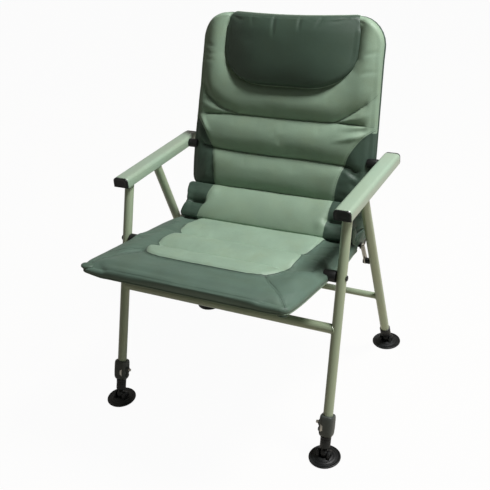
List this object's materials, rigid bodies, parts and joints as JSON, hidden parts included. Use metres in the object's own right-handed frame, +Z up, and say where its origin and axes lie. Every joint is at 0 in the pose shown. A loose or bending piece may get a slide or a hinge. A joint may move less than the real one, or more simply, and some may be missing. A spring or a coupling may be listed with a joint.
{
  "type": "folding armchair",
  "caption": "Folding tube-frame armchair with padded seat and back, head pillow, flat armrests, sliding front legs and swivel mud feet.",
  "frame": {"origin": "on the floor, under the middle of the outline of the open chair", "axes": "+Z up, +Y towards the back of the chair, +X towards the armrest on the viewer's right"},
  "size_m": [0.6232, 0.652, 0.8323],
  "materials": {
    "sage_paint": "satin powder coat, pale sage green",
    "black_paint": "satin black paint",
    "bright_steel": "zinc-plated steel",
    "black_steel": "black zinc-plated steel",
    "black_plastic": "moulded black nylon, fine grain",
    "sage_cloth": "coated polyester cloth, sage green with darker green side panels",
    "dark_cloth": "coated polyester cloth, dark green"
  },
  "bodies": {
    "front_frame": {"front_leg_left": "sage_paint", "leg_collar_left": "black_plastic", "pivot_block_left": "black_plastic", "seat_pivot_bolt_left": "black_steel", "arm_front_pin_left": "bright_steel", "front_leg_right": "sage_paint", "leg_collar_right": "black_plastic", "pivot_block_right": "black_plastic", "seat_pivot_bolt_right": "black_steel", "arm_front_pin_right": "bright_steel", "front_crossbar": "sage_paint"},
    "lock_pin_left": {"lock_pin_left": "bright_steel"},
    "inner_leg_left": {"inner_leg_left": "black_paint", "foot_neck_left": "black_plastic"},
    "lock_pin_right": {"lock_pin_right": "bright_steel"},
    "inner_leg_right": {"inner_leg_right": "black_paint", "foot_neck_right": "black_plastic"},
    "rear_frame": {"rear_leg_left": "sage_paint", "rear_ferrule_left": "black_plastic", "stay_bolt_left": "black_steel", "rear_leg_right": "sage_paint", "rear_ferrule_right": "black_plastic", "stay_bolt_right": "black_steel", "rear_crossbar": "sage_paint"},
    "arms": {"rear_leg_pin_left": "bright_steel", "rear_leg_pin_right": "bright_steel", "armrest_left": "sage_paint", "arm_cap_front_left": "black_plastic", "arm_cap_rear_left": "black_plastic", "back_spacer_left": "black_plastic", "back_bolt_left": "black_steel", "armrest_right": "sage_paint", "arm_cap_front_right": "black_plastic", "arm_cap_rear_right": "black_plastic", "back_spacer_right": "black_plastic", "back_bolt_right": "black_steel"},
    "seat": {"seat_frame": "sage_paint", "seat_cross_tube": "sage_paint", "seat_pad": "sage_cloth", "back_bracket_left": "black_steel", "back_hinge_bolt_left": "bright_steel", "stay_pin_left": "bright_steel", "back_bracket_right": "black_steel", "back_hinge_bolt_right": "bright_steel", "stay_pin_right": "bright_steel", "lower_back_panel": "sage_cloth"},
    "back": {"back_frame": "sage_paint", "back_cross_tube": "sage_paint", "back_pad": "sage_cloth", "head_pillow": "dark_cloth"},
    "stay_left": {"stay_link_left": "black_steel"},
    "stay_right": {"stay_link_right": "black_steel"},
    "foot_ball_front_left": {"foot_ball_front_left": "black_plastic"},
    "foot_disc_front_left": {"foot_disc_front_left": "black_plastic"},
    "foot_ball_front_right": {"foot_ball_front_right": "black_plastic"},
    "foot_disc_front_right": {"foot_disc_front_right": "black_plastic"},
    "foot_ball_rear_left": {"foot_ball_rear_left": "black_plastic"},
    "foot_disc_rear_left": {"foot_disc_rear_left": "black_plastic"},
    "foot_ball_rear_right": {"foot_ball_rear_right": "black_plastic"},
    "foot_disc_rear_right": {"foot_disc_rear_right": "black_plastic"}
  },
  "joints": [
    {"name": "seat_fold", "type": "hinge", "parent": "front_frame", "child": "seat", "pos_m": [0, -0.11508, 0.3918], "axis": [1, 0, 0], "range_deg": [-86, 0]},
    {"name": "arm_fold", "type": "hinge", "parent": "front_frame", "child": "arms", "pos_m": [0, -0.06471, 0.5287], "axis": [1, 0, 0], "range_deg": [-86, 0]},
    {"name": "back_fold", "type": "hinge", "parent": "seat", "child": "back", "pos_m": [0, 0.13342, 0.38356], "axis": [1, 0, 0], "range_deg": [0, 86], "deforming": ["lower_back_panel"]},
    {"name": "rear_leg_fold", "type": "hinge", "parent": "arms", "child": "rear_frame", "pos_m": [0, 0.03846, 0.52528], "axis": [1, 0, 0], "range_deg": [0, 62.4]},
    {"name": "stay_fold_left", "type": "hinge", "parent": "rear_frame", "child": "stay_left", "pos_m": [0, 0.10862, 0.30004], "axis": [1, 0, 0], "range_deg": [0, 98.5]},
    {"name": "stay_fold_right", "type": "hinge", "parent": "rear_frame", "child": "stay_right", "pos_m": [0, 0.10862, 0.30004], "axis": [1, 0, 0], "range_deg": [0, 98.5]},
    {"name": "leg_extend_left", "type": "slide", "parent": "front_frame", "child": "inner_leg_left", "axis": [0, -0.3453, -0.9385], "range_m": [0, 0.1]},
    {"name": "lock_pull_left", "type": "slide", "parent": "front_frame", "child": "lock_pin_left", "axis": [1, 0, 0], "range_m": [0, 0.005], "stiffness_N_per_m": 500, "springref_m": -0.003},
    {"name": "leg_extend_right", "type": "slide", "parent": "front_frame", "child": "inner_leg_right", "axis": [0, -0.3453, -0.9385], "range_m": [0, 0.1]},
    {"name": "lock_pull_right", "type": "slide", "parent": "front_frame", "child": "lock_pin_right", "axis": [-1, 0, 0], "range_m": [0, 0.005], "stiffness_N_per_m": 500, "springref_m": -0.003},
    {"name": "foot_tilt_front_left", "type": "hinge", "parent": "inner_leg_left", "child": "foot_ball_front_left", "pos_m": [-0.276, -0.25371, 0.015], "axis": [1, 0, 0], "range_deg": [-40, 8]},
    {"name": "foot_roll_front_left", "type": "hinge", "parent": "foot_ball_front_left", "child": "foot_disc_front_left", "pos_m": [-0.276, -0.25371, 0.015], "axis": [0, 1, 0], "range_deg": [-14, 14]},
    {"name": "foot_tilt_front_right", "type": "hinge", "parent": "inner_leg_right", "child": "foot_ball_front_right", "pos_m": [0.276, -0.25371, 0.015], "axis": [1, 0, 0], "range_deg": [-40, 8]},
    {"name": "foot_roll_front_right", "type": "hinge", "parent": "foot_ball_front_right", "child": "foot_disc_front_right", "pos_m": [0.276, -0.25371, 0.015], "axis": [0, 1, 0], "range_deg": [-14, 14]},
    {"name": "foot_tilt_rear_left", "type": "hinge", "parent": "rear_frame", "child": "foot_ball_rear_left", "pos_m": [-0.27, 0.1974, 0.015], "axis": [1, 0, 0], "range_deg": [-10, 38]},
    {"name": "foot_roll_rear_left", "type": "hinge", "parent": "foot_ball_rear_left", "child": "foot_disc_rear_left", "pos_m": [-0.27, 0.1974, 0.015], "axis": [0, 1, 0], "range_deg": [-14, 14]},
    {"name": "foot_tilt_rear_right", "type": "hinge", "parent": "rear_frame", "child": "foot_ball_rear_right", "pos_m": [0.27, 0.1974, 0.015], "axis": [1, 0, 0], "range_deg": [-10, 38]},
    {"name": "foot_roll_rear_right", "type": "hinge", "parent": "foot_ball_rear_right", "child": "foot_disc_rear_right", "pos_m": [0.27, 0.1974, 0.015], "axis": [0, 1, 0], "range_deg": [-14, 14]}
  ],
  "couplings": [
    {"joint": "arm_fold", "follows": "seat_fold", "ratio": 1},
    {"joint": "back_fold", "follows": "seat_fold", "ratio": -1},
    {"joint": "rear_leg_fold", "follows": "seat_fold", "ratio": -0.72473},
    {"joint": "stay_fold_left", "follows": "seat_fold", "ratio": -1.1443},
    {"joint": "stay_fold_right", "follows": "seat_fold", "ratio": -1.1443}
  ]
}
